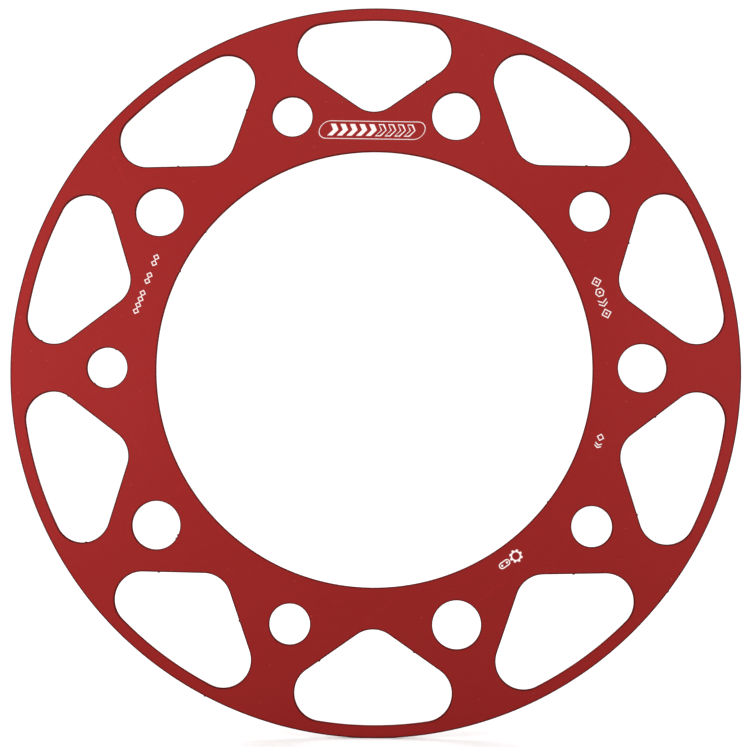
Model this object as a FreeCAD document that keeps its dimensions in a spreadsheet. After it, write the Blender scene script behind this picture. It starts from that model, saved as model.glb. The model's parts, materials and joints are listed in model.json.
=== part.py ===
"""Cover disc of a motorcycle rear sprocket, cut from one flat aluminium sheet.

The disc stands upright: its axis is Y, +Z is up and +X is to the right when the
front face, which looks along -Y, is seen square on. The origin is the centre of the
bore on the back face, the face that lies against the sprocket.
"""
import FreeCAD, Part
import math
import os
import Sketcher
from FreeCAD import Vector

# Names of sketch points and axes, as the sketcher numbers them
START, END, CENTRE = 1, 2, 3
ORIGIN, X_AXIS, Y_AXIS = (-1, 1), -1, -2

# Driving dimensions in millimetres, and the counts of the repeated cut-outs
DIMENSIONS = {
    "outer_diameter": 188.5,
    "bore_diameter": 112.6,
    "thickness": 1.0,
    "pitch_diameter": 138.0,        # both sets of bolt holes share this circle
    "large_hole_diameter": 12.4,
    "small_hole_diameter": 10.4,
    "bolt_count": 5,
    "window_count": 10,
    "window_top_radius": 91.1,      # long side of a window, concentric with the rim
    "window_nose_reach": 66.9,      # nearest that a window comes to the axis
    "window_width": 40.1,           # across the two outer corners
    "window_corner_radius": 7.1,    # the two corners near the rim
    "window_nose_radius": 7.2,      # the corner that points to the axis
}


def make_sheet(doc):
    """Spreadsheet with one aliased cell for each driving dimension."""
    sheet = doc.addObject("Spreadsheet::Sheet", "sizes")
    for row, (alias, value) in enumerate(DIMENSIONS.items(), start=1):
        sheet.set(f"A{row}", alias)
        sheet.set(f"B{row}", str(value))
        sheet.setAlias(f"B{row}", alias)
    doc.recompute()
    return sheet


def front_plane(body):
    """The body's own XZ plane; a sketch on it has X to the right and Z up."""
    for feature in body.Origin.OriginFeatures:
        if feature.Role == "XZ_Plane":
            return feature
    raise RuntimeError("the body has no XZ plane")


def new_sketch(body, name):
    sketch = body.newObject("Sketcher::SketchObject", name)
    sketch.AttachmentSupport = [(front_plane(body), "")]
    sketch.MapMode = "FlatFace"
    return sketch


def bind(sketch, constraint, expression):
    """Add a dimension to the sketch and drive it from the spreadsheet."""
    index = sketch.addConstraint(constraint)
    sketch.setExpression(f"Constraints[{index}]", expression)


def circle_on_axis(sketch, distance, diameter, side, distance_expression, diameter_expression):
    """A circle whose centre is on the sketch's X axis; side is +1 right, -1 left."""
    centre = Vector(side * distance, 0, 0)
    circle = sketch.addGeometry(Part.Circle(centre, Vector(0, 0, 1), diameter / 2), False)
    sketch.addConstraint(Sketcher.Constraint("PointOnObject", circle, CENTRE, X_AXIS))
    ends = (*ORIGIN, circle, CENTRE) if side > 0 else (circle, CENTRE, *ORIGIN)
    bind(sketch, Sketcher.Constraint("DistanceX", *ends, distance), distance_expression)
    bind(sketch, Sketcher.Constraint("Diameter", circle, diameter), diameter_expression)


def draw_blank(sketch, sheet):
    """Outer rim and bore, two circles about the axis."""
    for alias in ("outer_diameter", "bore_diameter"):
        diameter = sheet.get(alias)
        ring = Part.Circle(Vector(0, 0, 0), Vector(0, 0, 1), diameter / 2)
        circle = sketch.addGeometry(ring, False)
        sketch.addConstraint(Sketcher.Constraint("Coincident", circle, CENTRE, *ORIGIN))
        bind(sketch, Sketcher.Constraint("Diameter", circle, diameter), f"sizes.{alias}")


def arc(centre, radius, start_angle, end_angle):
    """Counter-clockwise arc between two angles in radians."""
    circle = Part.Circle(centre, Vector(0, 0, 1), radius)
    return Part.ArcOfCircle(circle, start_angle, end_angle)


def on_circle(centre, radius, angle):
    return centre + Vector(radius * math.cos(angle), radius * math.sin(angle), 0)


def draw_window(sketch, sheet):
    """Rounded triangle above the axis: one arc, two corners, two flanks and a nose."""
    top = sheet.window_top_radius
    corner = sheet.window_corner_radius
    nose = sheet.window_nose_radius
    half_span = sheet.window_width / 2 - corner
    corner_height = math.sqrt((top - corner) ** 2 - half_span**2)
    axis = Vector(0, 0, 0)
    right = Vector(half_span, corner_height, 0)
    left = Vector(-half_span, corner_height, 0)
    low = Vector(0, sheet.window_nose_reach + nose, 0)

    # The right flank touches the corner and the nose; this is the angle of its normal
    run = right - low
    normal = math.atan2(run.y, run.x) - math.acos((nose - corner) / run.Length)
    mirrored = math.pi - normal
    tilt = math.atan2(right.x, right.y)
    up = math.pi / 2

    outline = [
        arc(axis, top, up - tilt, up + tilt),
        arc(left, corner, up + tilt, mirrored),
        Part.LineSegment(on_circle(left, corner, mirrored), on_circle(low, nose, mirrored)),
        arc(low, nose, mirrored, normal + 2 * math.pi),
        Part.LineSegment(on_circle(low, nose, normal), on_circle(right, corner, normal)),
        arc(right, corner, normal, up - tilt),
    ]
    long_arc, left_arc, left_flank, nose_arc, right_flank, right_arc = (
        sketch.addGeometry(edge, False) for edge in outline
    )
    loop = (long_arc, left_arc, left_flank, nose_arc, right_flank, right_arc, long_arc)
    for first, second in zip(loop, loop[1:]):
        sketch.addConstraint(Sketcher.Constraint("Tangent", first, END, second, START))
    sketch.addConstraint(Sketcher.Constraint("Coincident", long_arc, CENTRE, *ORIGIN))
    sketch.addConstraint(Sketcher.Constraint("PointOnObject", nose_arc, CENTRE, Y_AXIS))
    sketch.addConstraint(Sketcher.Constraint("Equal", left_arc, right_arc))
    level = Sketcher.Constraint("Horizontal", left_arc, CENTRE, right_arc, CENTRE)
    sketch.addConstraint(level)
    bind(sketch, Sketcher.Constraint("Radius", long_arc, top), "sizes.window_top_radius")
    bind(sketch, Sketcher.Constraint("Radius", left_arc, corner), "sizes.window_corner_radius")
    bind(sketch, Sketcher.Constraint("Radius", nose_arc, nose), "sizes.window_nose_radius")
    bind(
        sketch,
        Sketcher.Constraint("DistanceX", left_arc, CENTRE, right_arc, CENTRE, 2 * half_span),
        "sizes.window_width - 2 * sizes.window_corner_radius",
    )
    bind(
        sketch,
        Sketcher.Constraint("DistanceY", *ORIGIN, nose_arc, CENTRE, low.y),
        "sizes.window_nose_reach + sizes.window_nose_radius",
    )


def cut_and_repeat(doc, body, sketch, name, count_expression):
    """Pocket the sketch right through the sheet and repeat it evenly about the axis."""
    before = body.Shape.Volume
    pocket = body.newObject("PartDesign::Pocket", name)
    pocket.Profile = sketch
    pocket.Type = "ThroughAll"
    pocket.Reversed = True          # the sheet lies on the side that the sketch faces
    doc.recompute()
    one_cut = before - pocket.Shape.Volume

    pattern = body.newObject("PartDesign::PolarPattern", f"{name}_pattern")
    pattern.Originals = [pocket]
    pattern.Axis = (sketch, ["N_Axis"])
    pattern.Angle = 360
    pattern.setExpression("Occurrences", count_expression)
    body.Tip = pattern
    doc.recompute()
    all_cuts = before - pattern.Shape.Volume
    if one_cut <= 0 or abs(all_cuts - pattern.Occurrences * one_cut) > 0.001 * all_cuts:
        raise RuntimeError(f"{name} did not cut evenly: {one_cut} once, {all_cuts} in all")
    print(f"{name}: {pattern.Occurrences} cuts of {one_cut:.1f} mm3")


def make_cover_disc(doc, sheet):
    body = doc.addObject("PartDesign::Body", "cover_disc")
    body.Label = "cover_disc"
    body.Placement = FreeCAD.Placement()

    blank_sketch = new_sketch(body, "blank_outline")
    draw_blank(blank_sketch, sheet)
    blank = body.newObject("PartDesign::Pad", "sheet_blank")
    blank.Profile = blank_sketch
    blank.setExpression("Length", "sizes.thickness")
    doc.recompute()

    window_sketch = new_sketch(body, "window_outline")
    draw_window(window_sketch, sheet)
    cut_and_repeat(doc, body, window_sketch, "windows", "sizes.window_count")

    pitch_radius = sheet.pitch_diameter / 2
    for name, side in (("large_hole", 1), ("small_hole", -1)):
        hole_sketch = new_sketch(body, f"{name}_outline")
        circle_on_axis(
            hole_sketch,
            pitch_radius,
            sheet.get(f"{name}_diameter"),
            side,
            "sizes.pitch_diameter / 2",
            f"sizes.{name}_diameter",
        )
        cut_and_repeat(doc, body, hole_sketch, f"{name}s", "sizes.bolt_count")
    return body


def check(doc, bodies):
    """Stop if any feature failed or any sub-part is not one sound solid."""
    for item in doc.Objects:
        if "Invalid" in item.State or "Error" in item.State:
            raise RuntimeError(f"{item.Label} failed: {item.State}")
        if item.TypeId == "Sketcher::SketchObject" and not item.FullyConstrained:
            raise RuntimeError(f"{item.Label} is not fully constrained")
    for body in bodies:
        shape = body.Shape
        if shape.isNull() or not shape.isValid() or len(shape.Solids) != 1:
            raise RuntimeError(f"{body.Label} is not one valid solid")
        box = shape.BoundBox
        print(
            f"{body.Label}: {shape.Volume:.0f} mm3, "
            f"X {box.XMin:.2f}..{box.XMax:.2f}, Y {box.YMin:.2f}..{box.YMax:.2f}, "
            f"Z {box.ZMin:.2f}..{box.ZMax:.2f}"
        )


def main():
    doc = FreeCAD.newDocument("sprocket_cover")
    sheet = make_sheet(doc)
    bodies = [make_cover_disc(doc, sheet)]
    doc.recompute()
    check(doc, bodies)
    os.makedirs("parts", exist_ok=True)
    for body in bodies:
        body.Shape.exportStep(os.path.join("parts", f"{body.Label}.step"))


main()
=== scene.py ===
"""Looks of the sprocket cover disc, in the CAD model's frame.

The disc is rebuilt as one fine mesh: its cut outlines with broken edges and the small nibs
that laser cutting leaves, and shallow etched marks on the front face. Outlines are worked
out in the plane of the disc, X to the right and Z up, in millimetres; meshes are in metres.
"""
import json
import math
import bpy
import numpy as np
from mathutils import Matrix, Vector
from mathutils.geometry import delaunay_2d_cdt
from mathutils.kdtree import KDTree


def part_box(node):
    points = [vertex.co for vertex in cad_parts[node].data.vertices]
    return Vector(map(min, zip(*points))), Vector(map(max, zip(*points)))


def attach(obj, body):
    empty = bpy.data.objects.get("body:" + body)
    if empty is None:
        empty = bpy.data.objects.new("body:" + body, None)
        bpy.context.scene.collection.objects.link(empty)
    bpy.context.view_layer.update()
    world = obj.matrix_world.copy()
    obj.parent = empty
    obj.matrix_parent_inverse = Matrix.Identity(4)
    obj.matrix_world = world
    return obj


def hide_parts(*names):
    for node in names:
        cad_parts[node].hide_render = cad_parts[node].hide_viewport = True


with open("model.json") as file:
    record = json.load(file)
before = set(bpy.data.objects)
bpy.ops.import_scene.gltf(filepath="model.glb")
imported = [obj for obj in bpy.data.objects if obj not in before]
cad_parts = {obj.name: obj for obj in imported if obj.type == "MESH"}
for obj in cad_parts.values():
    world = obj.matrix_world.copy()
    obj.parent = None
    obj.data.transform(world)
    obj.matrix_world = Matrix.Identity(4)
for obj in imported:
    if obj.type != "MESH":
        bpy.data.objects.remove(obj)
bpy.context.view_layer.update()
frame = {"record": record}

MM = 0.001

# ---------------------------------------------------------------- sizes, in millimetres

NODE = "cover_disc"
box_low, box_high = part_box(NODE)
mounts = {mount["name"]: mount["dims"] for mount in frame["record"]["mounts"]}

RIM_RADIUS = max(box_high.x, box_high.z) / MM
FRONT = box_low.y / MM                      # the marked face looks along -Y
BACK = box_high.y / MM
BORE_RADIUS = mounts["bore"]["r_mm"]
PITCH_RADIUS = mounts["large_bolt_holes"]["pcd_mm"] / 2
LARGE_HOLE_RADIUS = mounts["large_bolt_holes"]["hole_r_mm"]
SMALL_HOLE_RADIUS = mounts["small_bolt_holes"]["hole_r_mm"]
BOLT_COUNT = mounts["large_bolt_holes"]["count"]

WINDOW_COUNT = 10
WINDOW_TOP_RADIUS = 91.1                    # long side, concentric with the rim
WINDOW_NOSE_REACH = 66.9                    # nearest that a window comes to the axis
WINDOW_WIDTH = 40.1
WINDOW_CORNER_RADIUS = 7.1
WINDOW_NOSE_RADIUS = 7.2

EDGE_BREAK = 0.12                           # radius of the broken edge, front and back
EDGE_BAND = 0.5                             # width of the darker band along every cut: laser burn and painted shade of the cut edge
# How dark that band is painted beside each kind of cut: laser burn and painted edge shade
# together
LONG_SIDE_BURN_AND_SHADE = 0.45                       # that band is fainter along the windows' long sides
BORE_BURN_AND_SHADE = 0.7
HOLE_BURN_AND_SHADE = 0.8
ETCH_DEPTH = 0.02
GRID_PITCH = 2.6                            # inner points that keep the triangles compact
NIB_HEIGHT = 0.24                           # left where the laser lets a scrap piece go
NIB_HALF_WIDTH = 0.38
NIB_POINTS = 11                             # points of the outline across one nib

# Nibs on the circles: (angle round the circle's own centre in degrees, share of the height).
RIM_NIBS = [(-117.1, 0.9), (-37.2, 0.7)]
BORE_NIBS = [(141.0, 0.6), (153.5, 0.9), (-37.5, 0.7)]
LOWER_LEFT_HOLE_NIBS = [(-24, 1.2), (-33, 1.0)]
LEFT_HOLE_NIBS = [(66, 0.6), (231, 0.6)]

# Middles of the etched marks: (radius, angle from +X in degrees).
EMBLEM_PLACE = (62.0, 90.5)
ORIGIN_LINE_PLACE = (63.0, 159.8)
CODE_LINE_PLACE = (61.4, 17.2)
SHORT_LINE_PLACE = (60.8, -18.0)
SIZE_SIGNS_PLACE = (60.3, -54.6)


# ---------------------------------------------------------------- outlines

class Arc:
    """Counter-clockwise arc; angles in degrees, sampled about every `step` degrees.

    Its last argument is how dark the face beside it is painted: laser burn and painted shade of
    the cut edge together.
    """

    def __init__(self, centre, radius, start, end, step, burn_and_shade=1.0):
        self.centre = np.array(centre, float)
        self.radius = radius
        self.start = math.radians(start)
        self.sweep = math.radians(end - start)
        self.length = radius * self.sweep
        self.count = max(2, round((end - start) / step))
        self.burn_and_shade = burn_and_shade

    def at(self, share):
        angle = self.start + self.sweep * share
        normal = np.array([math.cos(angle), math.sin(angle)])
        return self.centre + self.radius * normal, normal


class Line:
    """Straight run; its normal points to the right of its direction."""

    def __init__(self, start, end, spacing):
        self.start = np.array(start, float)
        self.run = np.array(end, float) - self.start
        self.length = float(np.hypot(*self.run))
        self.count = max(2, round(self.length / spacing))
        self.burn_and_shade = 1.0

    def at(self, share):
        normal = np.array([self.run[1], -self.run[0]]) / self.length
        return self.start + self.run * share, normal


class Outline:
    """Closed counter-clockwise chain of arcs and lines, with nibs standing on it.

    `gap` is +1 where the empty side is outside the chain (the rim), -1 for a cut-out.
    Each nib is (piece number, share of the way along it, size).
    """

    def __init__(self, pieces, gap, nibs=(), turn=0.0):
        self.gap = gap
        stops = []
        for number, piece in enumerate(pieces):
            own = [share for index, share, _ in nibs if index == number]
            reach = NIB_HALF_WIDTH / piece.length
            for share in np.linspace(0, 1, piece.count, endpoint=False):
                if all(abs(share - place) > 1.1 * reach for place in own):
                    stops.append((number, share))
            across = np.linspace(-reach, reach, NIB_POINTS)
            stops += [(number, place + away) for place in own for away in across]
        stops.sort()
        samples = [pieces[number].at(share) for number, share in stops]
        self.points = np.array([point for point, _ in samples])
        self.normals = np.array([normal for _, normal in samples])
        # Averaged over neighbouring points, so that the band of burn and painted edge shade
        # doesn't change abruptly at a corner.
        burn_and_shade = np.array([pieces[number].burn_and_shade for number, _ in stops])
        self.burn_and_shade = np.mean([np.roll(burn_and_shade, shift) for shift in range(-5, 6)], axis=0)
        self.rise = np.zeros(len(stops))
        for index, place, size in nibs:
            length = pieces[index].length
            for row, (number, share) in enumerate(stops):
                away = abs(share - place) * length / NIB_HALF_WIDTH
                if number == index and away < 1:        # rounded top, smooth foot
                    self.rise[row] = NIB_HEIGHT * size * (1 - away) ** 1.5 * (1 + 1.5 * away)
        self.turn(turn)

    def turn(self, degrees):
        """Turn the outline about the disc's axis."""
        angle = math.radians(degrees)
        matrix = np.array([
            [math.cos(angle), -math.sin(angle)],
            [math.sin(angle), math.cos(angle)],
        ])
        self.points = self.points @ matrix.T
        self.normals = self.normals @ matrix.T

    def ring(self, inset, nib_share):
        """Points at a distance inside the metal, with that share of the nibs' height."""
        away = self.gap * (self.rise * nib_share - inset)
        return self.points + self.normals * away[:, None]


def circle(centre, radius, step, gap=-1, nibs=(), burn_and_shade=1.0):
    """Circular outline; its nibs are (angle in degrees, size)."""
    shares = [(0, (angle % 360) / 360, size) for angle, size in nibs]
    return Outline([Arc(centre, radius, 0, 360, step, burn_and_shade)], gap, shares)


def polar(radius, degrees):
    angle = math.radians(degrees)
    return np.array([radius * math.cos(angle), radius * math.sin(angle)])


# Places in a window's list of pieces; its long side is 2 and its nose is 5.
RIGHT_FLANK, RIGHT_CORNER, LEFT_CORNER, LEFT_FLANK = 0, 1, 3, 4


def window(turn, nibs):
    """Rounded triangle whose nose points to the axis, drawn upright and then turned."""
    half_span = WINDOW_WIDTH / 2 - WINDOW_CORNER_RADIUS
    corner_reach = WINDOW_TOP_RADIUS - WINDOW_CORNER_RADIUS
    right = np.array([half_span, math.sqrt(corner_reach**2 - half_span**2)])
    left = right * (-1, 1)
    low = np.array([0, WINDOW_NOSE_REACH + WINDOW_NOSE_RADIUS])
    run = right - low
    lean = math.acos((WINDOW_NOSE_RADIUS - WINDOW_CORNER_RADIUS) / np.hypot(*run))
    normal = math.degrees(math.atan2(run[1], run[0]) - lean)
    tilt = math.degrees(math.asin(half_span / corner_reach))
    pieces = [
        Line(low + polar(WINDOW_NOSE_RADIUS, normal),
             right + polar(WINDOW_CORNER_RADIUS, normal), 1.0),
        Arc(right, WINDOW_CORNER_RADIUS, normal, 90 - tilt, 4),
        Arc((0, 0), WINDOW_TOP_RADIUS, 90 - tilt, 90 + tilt, 0.8, LONG_SIDE_BURN_AND_SHADE),
        Arc(left, WINDOW_CORNER_RADIUS, 90 + tilt, 180 - normal, 4),
        Line(left + polar(WINDOW_CORNER_RADIUS, 180 - normal),
             low + polar(WINDOW_NOSE_RADIUS, 180 - normal), 1.0),
        Arc(low, WINDOW_NOSE_RADIUS, 180 - normal, 360 + normal, 4),
    ]
    return Outline(pieces, -1, nibs, turn)


def window_nibs(number):
    """Where the laser let go of each window's scrap; windows count from the top, leftwards."""
    if number in (2, 3):
        return [(RIGHT_CORNER, 0.03, 0.8), (LEFT_CORNER, 0.52, 0.8)]
    nibs = []
    if number not in (6, 8):
        share = {1: 0.66, 7: 0.83}.get(number, 0.74)
        nibs.append((RIGHT_FLANK, share, 1.0))
    if number not in (0, 9):
        nibs.append((LEFT_FLANK, 0.51, 1.0))
    return nibs


def bolt_hole(angle, radius, nibs):
    return circle(polar(PITCH_RADIUS, angle), radius, 5, nibs=nibs, burn_and_shade=HOLE_BURN_AND_SHADE)


def disc_outlines():
    """The rim first, then every cut-out."""
    outlines = [
        circle((0, 0), RIM_RADIUS, 0.6, gap=1, nibs=RIM_NIBS),
        circle((0, 0), BORE_RADIUS, 0.8, nibs=BORE_NIBS, burn_and_shade=BORE_BURN_AND_SHADE),
    ]
    for number in range(WINDOW_COUNT):
        outlines.append(window(number * 360 / WINDOW_COUNT, window_nibs(number)))
    spacing = 360 / BOLT_COUNT
    for number in range(BOLT_COUNT):
        nibs = LOWER_LEFT_HOLE_NIBS if number == 3 else []
        outlines.append(bolt_hole(number * spacing, LARGE_HOLE_RADIUS, nibs))
        nibs = LEFT_HOLE_NIBS if number == 2 else []
        outlines.append(bolt_hole((number + 0.5) * spacing, SMALL_HOLE_RADIUS, nibs))
    return outlines


# ---------------------------------------------------------------- etched marks

class Mark:
    """Closed shape to etch, with the islands inside it that stay untouched."""

    def __init__(self, edge, islands=()):
        self.edge = np.array(edge, float)
        self.islands = [np.array(island, float) for island in islands]

    def moved(self, offset, lean=0.0, turn=0.0):
        """Lean to the right, turn in degrees, and then shift."""
        angle = math.radians(turn)
        spin = np.array([
            [math.cos(angle), -math.sin(angle)],
            [math.sin(angle), math.cos(angle)],
        ])
        matrix = spin @ np.array([[1, lean], [0, 1]])
        parts = [part @ matrix.T + offset for part in (self.edge, *self.islands)]
        return Mark(parts[0], parts[1:])


def polygon(sides, radius):
    """Regular polygon round the origin, counter-clockwise, with a corner at the top."""
    return np.array([polar(radius, 90 + 360 * corner / sides) for corner in range(sides)])


def frame_of(sides, radius, stroke):
    """Outline of a regular polygon, drawn with a stroke of constant width."""
    inner = radius - stroke / math.cos(math.pi / sides)
    return Mark(polygon(sides, radius), [polygon(sides, inner)])


def chevron(width, height, thickness):
    """Arrow head that points to the right."""
    half = height / 2
    tip = width / 2
    tail = tip - thickness
    return Mark([
        (-tip, -half), (-tip + thickness, -half), (tip, 0),
        (-tip + thickness, half), (-tip, half), (tail, 0),
    ])


def hollow_chevron(width, height, thickness, stroke):
    """Arrow head drawn as an outline."""
    inner_thickness = thickness - 2.4 * stroke
    inner = chevron(width - 2.4 * stroke, height - 2 * stroke, inner_thickness)
    return Mark(chevron(width, height, thickness).edge, [inner.edge])


def toothed(radius, root, teeth):
    """Outline of a toothed wheel round the origin."""
    step = 360 / teeth
    profile = ((-0.36, root), (-0.17, radius), (0.17, radius), (0.36, root))
    return [
        polar(reach, 90 + (tooth + share) * step)
        for tooth in range(teeth)
        for share, reach in profile
    ]


def little_sprocket(radius, stroke, teeth=8):
    """Toothed ring, the sign for a sprocket."""
    root = radius * 0.78
    return Mark(toothed(radius, root, teeth), [polygon(16, root - stroke)])


def stadium(half_length, radius, steps=20):
    """Rounded bar along X."""
    right = [polar(radius, angle) + (half_length, 0) for angle in np.linspace(-90, 90, steps)]
    left = [polar(radius, angle) - (half_length, 0) for angle in np.linspace(90, 270, steps)]
    return np.array(right + left)


def little_link(pitch, radius, stroke):
    """Chain link plate with its two pins, the sign for a chain."""
    plate = Mark(stadium(pitch / 2, radius), [stadium(pitch / 2, radius - stroke)])
    pin = polygon(10, radius * 0.36)
    return [plate, Mark(pin - (pitch / 2, 0)), Mark(pin + (pitch / 2, 0))]


def emblem():
    """Five solid and four hollow arrow heads in a leaning frame, 27.6 mm wide and 4.8 mm high."""
    half_length, radius, stroke = 11.4, 2.4, 0.18
    pitch = 2.5
    marks = [Mark(stadium(half_length, radius), [stadium(half_length, radius - stroke)])]
    for number in range(9):
        if number < 5:
            head = chevron(width=2.5, height=3.1, thickness=1.35)
        else:
            head = hollow_chevron(width=2.6, height=3.2, thickness=1.5, stroke=0.24)
        marks.append(head.moved(((number - 4) * pitch, 0)))
    return [mark.moved((0, 0), lean=0.28) for mark in marks]


def glyph(kind, height, stroke):
    """One plain sign of the given height, as a list of marks; none is a letter or a digit."""
    radius = height / 2
    dot = Mark(polygon(8, height * 0.11))
    if kind == "diamond":
        return [frame_of(4, radius, stroke)]
    if kind == "dotted_diamond":
        return [frame_of(4, radius, stroke), dot]
    if kind == "dotted_hexagon":
        return [frame_of(6, radius * 0.92, stroke), dot]
    arrow = chevron(height * 0.42, height * 0.86, stroke * 1.25)
    return [arrow.moved((side * height * 0.17, 0)) for side in (-1, 1)]


def tangential(marks, place):
    """Set marks down at a (radius, angle), with their tops away from the axis."""
    offset = polar(*place)
    return [mark.moved(offset, turn=place[1] - 90) for mark in marks]


def row_of_glyphs(kinds, height, stroke, pitch):
    """Signs of one height and stroke side by side, read clockwise; a blank is a space."""
    marks = []
    for number, kind in enumerate(kinds):
        if kind != "blank":
            offset = (number - (len(kinds) - 1) / 2) * pitch
            marks += [mark.moved((offset, 0)) for mark in glyph(kind, height, stroke)]
    return marks


def disc_marks():
    """Every etched mark, in the place and size of the real disc's lettering."""
    origin_line = [
        "diamond", "diamond", "diamond", "diamond", "blank",
        "diamond", "diamond", "blank", "diamond", "diamond",
    ]
    code_line = ["dotted_diamond", "dotted_hexagon", "arrows", "dotted_diamond"]
    short_line = ["diamond", "arrows"]
    size_signs = [
        little_sprocket(1.7, 0.34).moved((-1.85, 0)),
        *[mark.moved((1.7, 0)) for mark in little_link(1.5, 0.85, 0.28)],
    ]
    tilted_emblem = [mark.moved((0, 0), turn=-1.5) for mark in emblem()]
    return [
        *tangential(tilted_emblem, EMBLEM_PLACE),
        *tangential(row_of_glyphs(origin_line, 1.75, 0.25, 1.66), ORIGIN_LINE_PLACE),
        *tangential(row_of_glyphs(code_line, 2.7, 0.26, 2.85), CODE_LINE_PLACE),
        *tangential(row_of_glyphs(short_line, 2.0, 0.25, 2.15), SHORT_LINE_PLACE),
        *tangential(size_signs, SIZE_SIGNS_PLACE),
    ]


# ---------------------------------------------------------------- mesh of the disc

SNAP = 3                                    # decimals that points are rounded to, for welding
ANODISED, ETCHED, CUT = range(3)            # material slots of the disc


class MeshMaker:
    """Collects faces by the places of their corners, and welds corners that coincide."""

    def __init__(self):
        self.index = {}
        self.corners = []
        self.normals = []
        self.cut = []
        self.faces = []
        self.slots = []

    def corner(self, place, normal, cut=0.0):
        key = tuple(round(float(value), SNAP) + 0.0 for value in place)
        if key not in self.index:
            self.index[key] = len(self.corners)
            self.corners.append(key)
            self.normals.append(normal)
            self.cut.append(cut)
        return self.index[key]

    def face(self, corners, slot):
        self.faces.append(corners)
        self.slots.append(slot)

    def build(self, name, materials):
        mesh = bpy.data.meshes.new(name)
        places = [tuple(value * MM for value in corner) for corner in self.corners]
        mesh.from_pydata(places, [], self.faces)
        for material in materials:
            mesh.materials.append(material)
        mesh.polygons.foreach_set("material_index", self.slots)
        mesh.polygons.foreach_set("use_smooth", [True] * len(self.faces))
        # The cut attribute holds how dark each point is painted beside a cut: laser burn and
        # painted edge shade
        cut = mesh.attributes.new("cut", "FLOAT", "POINT")
        cut.data.foreach_set("value", self.cut)
        mesh.normals_split_custom_set_from_vertices(self.normals)
        mesh.update()
        piece = bpy.data.objects.new(name, mesh)
        bpy.context.collection.objects.link(piece)
        return piece


def grid_points(lines):
    """Even points over the metal, clear of every line."""
    near = KDTree(sum(len(line) for line in lines))
    for number, point in enumerate(np.vstack(lines)):
        near.insert((*point, 0), number)
    near.balance()
    row_height = GRID_PITCH * math.sqrt(3) / 2
    rows = int(RIM_RADIUS / row_height)
    columns = int(RIM_RADIUS / GRID_PITCH)
    points = []
    for row in range(-rows, rows + 1):
        for column in range(-columns, columns + 1):
            place = ((column + 0.5 * (row % 2)) * GRID_PITCH, row * row_height)
            if BORE_RADIUS < math.hypot(*place) < RIM_RADIUS:
                if near.find((*place, 0))[2] > 0.6 * GRID_PITCH:
                    points.append(place)
    return points


def fill(loops, extra):
    """Triangles between closed lines: a list of (three points, numbers of the loops round it)."""
    points = []
    faces = []
    for loop in loops:
        faces.append(list(range(len(points), len(points) + len(loop))))
        points += [Vector(point) for point in loop]
    points += [Vector(point) for point in extra]
    places, _, triangles, _, _, owners = delaunay_2d_cdt(points, [], faces, 0, 1e-5)
    return [
        ([tuple(places[corner]) for corner in triangle], set(around))
        for triangle, around in zip(triangles, owners)
        if around
    ]


def tangents_to_normals(ring):
    """Unit normals of a closed counter-clockwise ring, away from what it encloses."""
    along = np.roll(ring, -1, axis=0) - np.roll(ring, 1, axis=0)
    normals = np.stack([along[:, 1], -along[:, 0]], axis=1)
    return normals / np.hypot(*normals.T)[:, None]


def add_cut_edges(maker, outline):
    """Walls, broken edges and the bands beside them, front to back, round one outline."""
    round_off = EDGE_BREAK * (1 - math.sqrt(0.5))
    depth = BACK - FRONT
    profile = [
        # inset, depth, angle of the normal from the front, darkening (laser burn and painted edge
        # shade), share of the nibs
        (EDGE_BAND, 0, 0, 0, 0),
        (EDGE_BREAK, 0, 0, 1, 1),
        (round_off, round_off, 45, 1, 1),
        (0, EDGE_BREAK, 90, 0, 1),
        (0, depth - EDGE_BREAK, 90, 0, 1),
        (round_off, depth - round_off, 135, 1, 1),
        (EDGE_BREAK, depth, 180, 1, 1),
        (EDGE_BAND, depth, 180, 0, 0),
    ]
    rings = []
    for inset, below, angle, dark, nib_share in profile:
        ring = outline.ring(inset, nib_share)
        outward = tangents_to_normals(ring) * outline.gap
        side = math.sin(math.radians(angle))
        ahead = -math.cos(math.radians(angle))
        rings.append([
            maker.corner((x, FRONT + below, z), (nx * side, ahead, nz * side), dark * burn_and_shade)
            for (x, z), (nx, nz), burn_and_shade in zip(ring, outward, outline.burn_and_shade)
        ])
    count = len(outline.points)
    for level, (front, back) in enumerate(zip(rings, rings[1:])):
        slot = CUT if 0 < level < len(profile) - 2 else ANODISED
        for here in range(count):
            there = (here + 1) % count
            corners = [front[here], back[here], back[there], front[there]]
            maker.face(corners if outline.gap > 0 else corners[::-1], slot)


def add_back_face(maker, outlines):
    loops = [np.round(outline.ring(EDGE_BAND, 0), SNAP) for outline in outlines]
    for corners, around in fill(loops, grid_points(loops)):
        if around == {0}:
            face = [maker.corner((x, BACK, z), (0, 1, 0)) for x, z in corners]
            maker.face(face[::-1], ANODISED)


def add_front_face(maker, outlines, marks):
    """The front face with its marks, which lie a hair below it."""
    loops = [np.round(outline.ring(EDGE_BAND, 0), SNAP) for outline in outlines]
    cut_outs = set(range(1, len(loops)))
    weights = [0] * len(loops)
    for mark in marks:
        loops += [np.round(line, SNAP) for line in (mark.edge, *mark.islands)]
        weights += [1] + [-1] * len(mark.islands)
    rims = {}                               # sides of the etched triangles, in order
    for corners, around in fill(loops, grid_points(loops)):
        if 0 not in around or around & cut_outs:
            continue
        etched = sum(weights[loop] for loop in around) > 0
        level = FRONT + ETCH_DEPTH * etched
        face = [maker.corner((x, level, z), (0, -1, 0)) for x, z in corners]
        maker.face(face, ETCHED if etched else ANODISED)
        if etched:
            for start, end in zip(corners, corners[1:] + corners[:1]):
                rims[start, end] = True
    for start, end in rims:
        if (end, start) not in rims:
            high = [maker.corner((x, FRONT, z), (0, -1, 0)) for x, z in (start, end)]
            deep = [maker.corner((x, FRONT + ETCH_DEPTH, z), (0, -1, 0)) for x, z in (start, end)]
            maker.face([high[0], high[1], deep[1], deep[0]], ETCHED)


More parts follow.
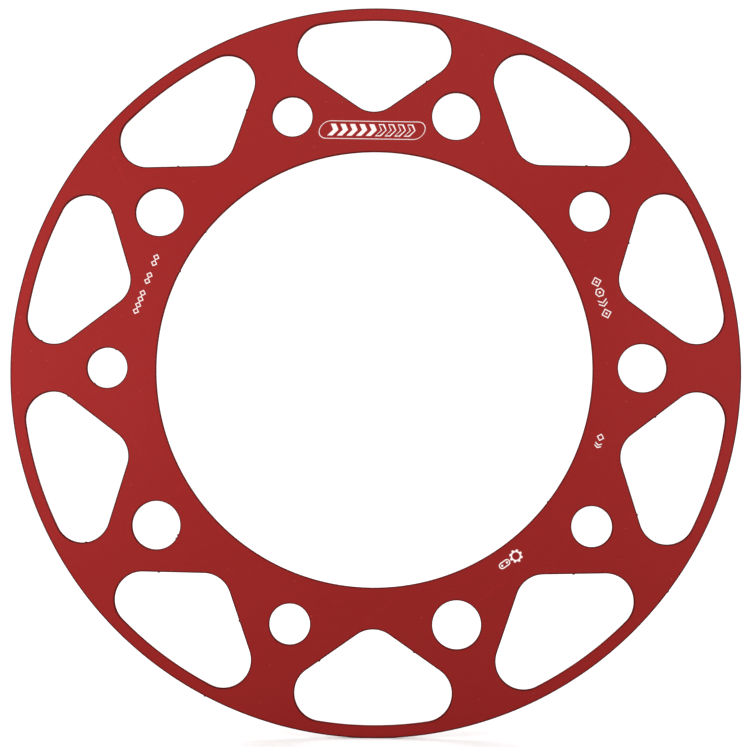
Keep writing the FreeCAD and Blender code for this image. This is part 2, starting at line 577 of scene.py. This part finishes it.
def make_disc(materials):
    outlines = disc_outlines()
    maker = MeshMaker()
    for outline in outlines:
        add_cut_edges(maker, outline)
    add_front_face(maker, outlines, disc_marks())
    add_back_face(maker, outlines)
    disc = maker.build("cover_disc_sheet", materials)
    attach(disc, "root")
    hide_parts(NODE)
    return disc


# ---------------------------------------------------------------- materials

class Nodes:
    """Short way to add and link the nodes of one material."""

    def __init__(self, name):
        self.material = bpy.data.materials.new(name)
        self.material.use_nodes = True
        self.tree = self.material.node_tree
        self.shader = self.tree.nodes["Principled BSDF"]
        coordinates = self.tree.nodes.new("ShaderNodeTexCoord")
        self.place = coordinates.outputs["Object"]

    def add(self, kind, inputs=(), **settings):
        node = self.tree.nodes.new(kind)
        for name, value in settings.items():
            setattr(node, name, value)
        for socket, value in dict(inputs).items():
            if isinstance(value, bpy.types.NodeSocket):
                self.tree.links.new(value, node.inputs[socket])
            else:
                node.inputs[socket].default_value = value
        return node

    def link(self, output, socket):
        self.tree.links.new(output, self.shader.inputs[socket])

    def stretched(self, scale):
        """Object coordinates scaled along each axis, per metre."""
        mapping = self.add("ShaderNodeMapping", {"Vector": self.place, "Scale": scale})
        return mapping.outputs["Vector"]

    def noise(self, scale, detail=2.0, roughness=0.5):
        """Noise with that many features to the metre along X, Y and Z."""
        node = self.add("ShaderNodeTexNoise", {
            "Vector": self.stretched(scale), "Scale": 1.0,
            "Detail": detail, "Roughness": roughness,
        })
        return node.outputs["Fac"]

    def between(self, factor, low, high, start=0.0, end=1.0):
        """Map a factor from start..end to low..high."""
        node = self.add("ShaderNodeMapRange", {
            "Value": factor, "From Min": start, "From Max": end,
            "To Min": low, "To Max": high,
        })
        return node.outputs["Result"]

    def maths(self, operation, first, second):
        node = self.add("ShaderNodeMath", {0: first, 1: second}, operation=operation)
        return node.outputs["Value"]

    def mix(self, factor, first, second):
        node = self.add("ShaderNodeMix", data_type="RGBA")
        for socket, value in (("Factor", factor), ("A", first), ("B", second)):
            own = [s for s in node.inputs if s.name == socket and s.enabled][0]
            if isinstance(value, bpy.types.NodeSocket):
                self.tree.links.new(value, own)
            else:
                own.default_value = value
        return [s for s in node.outputs if s.enabled][0]

    def scratch(self, lean, level):
        """Sparse hairlines in the disc's plane, at an angle to X in degrees."""
        turned = self.add("ShaderNodeMapping", {
            "Vector": self.place, "Rotation": (0, math.radians(lean), 0),
        })
        node = self.add("ShaderNodeTexNoise", {
            "Vector": self.add("ShaderNodeMapping", {
                "Vector": turned.outputs["Vector"], "Scale": (45, 45, 4200),
            }).outputs["Vector"],
            "Scale": 1.0, "Detail": 1.0,
        })
        return self.between(node.outputs["Fac"], 0.0, 1.0, start=level, end=level + 0.03)

    def specks(self, spacing, radius):
        """Round spots in the disc's plane, one to a cell, each of its own strength."""
        flat = self.add("ShaderNodeMapping", {
            "Vector": self.place, "Rotation": (math.pi / 2, 0, 0),
        })
        cells = self.add("ShaderNodeTexVoronoi", {
            "Vector": flat.outputs["Vector"], "Scale": 1 / spacing,
        }, voronoi_dimensions="2D")
        edge = radius / spacing
        spot = self.between(cells.outputs["Distance"], 1.0, 0.0, start=0.5 * edge, end=edge)
        strength = self.between(cells.outputs["Color"], 0.0, 1.0, start=0.3, end=0.7)
        return self.maths("MULTIPLY", spot, strength)

    def bump(self, height, distance):
        node = self.add("ShaderNodeBump", {
            "Height": height, "Distance": distance, "Strength": 1.0,
        })
        self.link(node.outputs["Normal"], "Normal")


RED = (0.2046, 0.0093, 0.0084, 1)
BURN_AND_SHADE_BAND_RED = (0.047, 0.0024, 0.0024, 1)       # on the faces beside a cut: laser burn and painted shade of the edge
WALL_RED = (0.15, 0.0055, 0.005, 1)
SOOT_AND_SHADE_RED = (0.055, 0.003, 0.003, 1)         # on the broken edges of a cut: soot and painted shade
SPECK_PINK = (0.36, 0.06, 0.058, 1)
CHALK_PALE = (0.76, 0.68, 0.67, 1)
CHALK_PINK = (0.70, 0.55, 0.54, 1)
FLOOR_DARK = (0.955, 0.955, 0.955, 1)
FLOOR_LIGHT = (0.97, 0.97, 0.97, 1)


def tinted(colour, factor):
    return tuple(factor * value for value in colour[:3]) + (1,)


def anodised_material():
    """Dyed anodised aluminium sheet: satin, over a fine rolled grain that runs along X."""
    nodes = Nodes("anodised_face")
    shader = nodes.shader.inputs
    shader["Metallic"].default_value = 1.0
    shader["Coat Weight"].default_value = 0.1
    shader["Coat Roughness"].default_value = 0.2
    shader["Coat IOR"].default_value = 1.6

    cloud = nodes.noise((22, 22, 22), detail=3)
    grain = nodes.noise((260, 260, 9000), detail=4, roughness=0.6)
    pores = nodes.noise((8000, 8000, 8000), detail=2)
    grain_tone = nodes.between(grain, -0.5, 0.5, start=0.3, end=0.7)
    pore_tone = nodes.between(pores, -0.35, 0.35, start=0.35, end=0.65)
    texture = nodes.maths("ADD", grain_tone, pore_tone)
    tone = nodes.maths("ADD", nodes.between(cloud, 0.2, 0.8), texture)
    colour = nodes.mix(tone, tinted(RED, 0.93), tinted(RED, 1.07))

    scratches = [nodes.scratch(lean, level) for lean, level in ((38, 0.735), (-62, 0.75))]
    scratched = nodes.maths("MAXIMUM", *scratches)
    colour = nodes.mix(nodes.maths("MULTIPLY", scratched, 0.3), colour, tinted(RED, 2.2))
    colour = nodes.mix(nodes.specks(11 * MM, 0.15 * MM), colour, SPECK_PINK)

    # The mesh stores how dark each point beside a cut is painted, laser burn and painted edge
    # shade together; the pores make the band ragged.
    cut = nodes.add("ShaderNodeAttribute", attribute_name="cut").outputs["Fac"]
    ragged = nodes.maths("ADD", cut, nodes.between(pores, -0.12, 0.12))
    band = nodes.between(ragged, 0.0, 1.0, start=0.25, end=0.73)
    nodes.link(nodes.mix(band, colour, BURN_AND_SHADE_BAND_RED), "Base Color")
    nodes.link(nodes.between(texture, 0.34, 0.46, start=-0.6, end=0.6), "Roughness")
    nodes.bump(nodes.maths("SUBTRACT", texture, scratched), 0.003 * MM)
    return nodes.material


def cut_wall_material():
    """Laser-cut wall and its broken edges: dull and dark, with upright striations; the broken
    edges are painted darker still, soot and painted shade together.
    """
    nodes = Nodes("laser_cut_edge")
    shader = nodes.shader.inputs
    shader["Metallic"].default_value = 0.35
    shader["Specular IOR Level"].default_value = 0.0
    stripes = nodes.noise((6000, 350, 6000), detail=3)
    stain = nodes.noise((300, 900, 300), detail=2)
    share = nodes.maths("MULTIPLY", stain, nodes.between(stripes, 0, 2, start=0.3, end=0.65))
    bare = nodes.mix(share, tinted(WALL_RED, 0.5), WALL_RED)
    cut = nodes.add("ShaderNodeAttribute", attribute_name="cut").outputs["Fac"]
    # Broken edges painted dark: soot and painted shade of the edge
    nodes.link(nodes.mix(cut, bare, SOOT_AND_SHADE_RED), "Base Color")
    nodes.link(nodes.between(stripes, 0.7, 0.5), "Roughness")
    nodes.bump(stripes, 0.03 * MM)
    return nodes.material


def etched_material():
    """Laser mark: the dye is burnt out, in close parallel passes, to a pale chalky oxide."""
    nodes = Nodes("etched_mark")
    nodes.shader.inputs["Metallic"].default_value = 0.25
    passes = nodes.noise((1500, 1500, 14000), detail=1)
    chalk = nodes.noise((9000, 9000, 9000), detail=2)
    burnt = nodes.maths("ADD", nodes.between(passes, 0, 0.5), nodes.between(chalk, 0, 0.5))
    paleness = nodes.between(burnt, 0, 1, start=0.35, end=0.6)
    nodes.link(nodes.mix(paleness, CHALK_PINK, CHALK_PALE), "Base Color")
    nodes.link(nodes.between(burnt, 0.7, 0.55), "Roughness")
    nodes.bump(burnt, 0.01 * MM)
    return nodes.material


def floor_material():
    """Plain pale table."""
    nodes = Nodes("pale_floor")
    nodes.shader.inputs["Roughness"].default_value = 0.9
    mottle = nodes.noise((3, 3, 3))
    nodes.link(nodes.mix(mottle, FLOOR_DARK, FLOOR_LIGHT), "Base Color")
    return nodes.material


# ---------------------------------------------------------------- stage, light and camera

FLOOR_HALF_SIZE = 4.0                       # in metres
SOFTBOX_SIZE = 0.5                          # in metres
SENSOR_WIDTH = 36                           # in millimetres, as is the lens
LENS = 67.95
CAMERA_PLACE = (8.62, -365.1, -22.2)
CAMERA_AIM = (0.36, FRONT, -1.45)
CAMERA_ROLL = 0.13                          # in degrees


def make_floor():
    half = FLOOR_HALF_SIZE
    mesh = bpy.data.meshes.new("floor")
    corners = [(-half, -half), (half, -half), (half, half), (-half, half)]
    mesh.from_pydata([(x, y, box_low.z) for x, y in corners], [], [(0, 1, 2, 3)])
    mesh.materials.append(floor_material())
    floor = bpy.data.objects.new("floor", mesh)
    bpy.context.collection.objects.link(floor)


def look_at(thing, place, target, roll=0.0):
    """Put a light or camera at a place, aimed at a target, turned about its own axis."""
    thing.location = place
    aim = (Vector(target) - Vector(place)).to_track_quat("-Z", "Y")
    spin = Matrix.Rotation(math.radians(roll), 4, "Z")
    thing.matrix_world = Matrix.Translation(place) @ aim.to_matrix().to_4x4() @ spin


def softbox(name, turn, height, power):
    """Round softbox a metre from the disc, at an angle round it and an angle up, in degrees."""
    data = bpy.data.lights.new(name, "AREA")
    data.shape = "DISK"
    data.size = SOFTBOX_SIZE
    data.energy = power
    light = bpy.data.objects.new(name, data)
    bpy.context.collection.objects.link(light)
    turn, height = math.radians(turn), math.radians(height)
    level = math.cos(height)
    place = Vector((math.sin(turn) * level, -math.cos(turn) * level, math.sin(height)))
    look_at(light, place, (0, 0, 0))


def make_lights():
    world = bpy.data.worlds.new("white_room")
    world.use_nodes = True
    background = world.node_tree.nodes["Background"].inputs
    background["Color"].default_value = (1, 1, 1, 1)
    background["Strength"].default_value = 1.15
    bpy.context.scene.world = world
    softbox("key_left", -25, 5, 0.85)
    softbox("fill_right", 25, 5, 0.67)
    softbox("fill_above", 0, 25, 0.65)
    softbox("side_left", -50, 8, 1.8)
    softbox("rear_fill", 205, 42, 1.6)


def make_camera():
    data = bpy.data.cameras.new("camera")
    data.sensor_width = SENSOR_WIDTH
    data.lens = LENS
    data.clip_start = 0.01
    camera = bpy.data.objects.new("camera", data)
    bpy.context.collection.objects.link(camera)
    look_at(camera, Vector(CAMERA_PLACE) * MM, Vector(CAMERA_AIM) * MM, CAMERA_ROLL)
    bpy.context.scene.camera = camera


make_disc([anodised_material(), etched_material(), cut_wall_material()])
make_floor()
make_lights()
make_camera()
bpy.context.scene.view_settings.view_transform = "Standard"
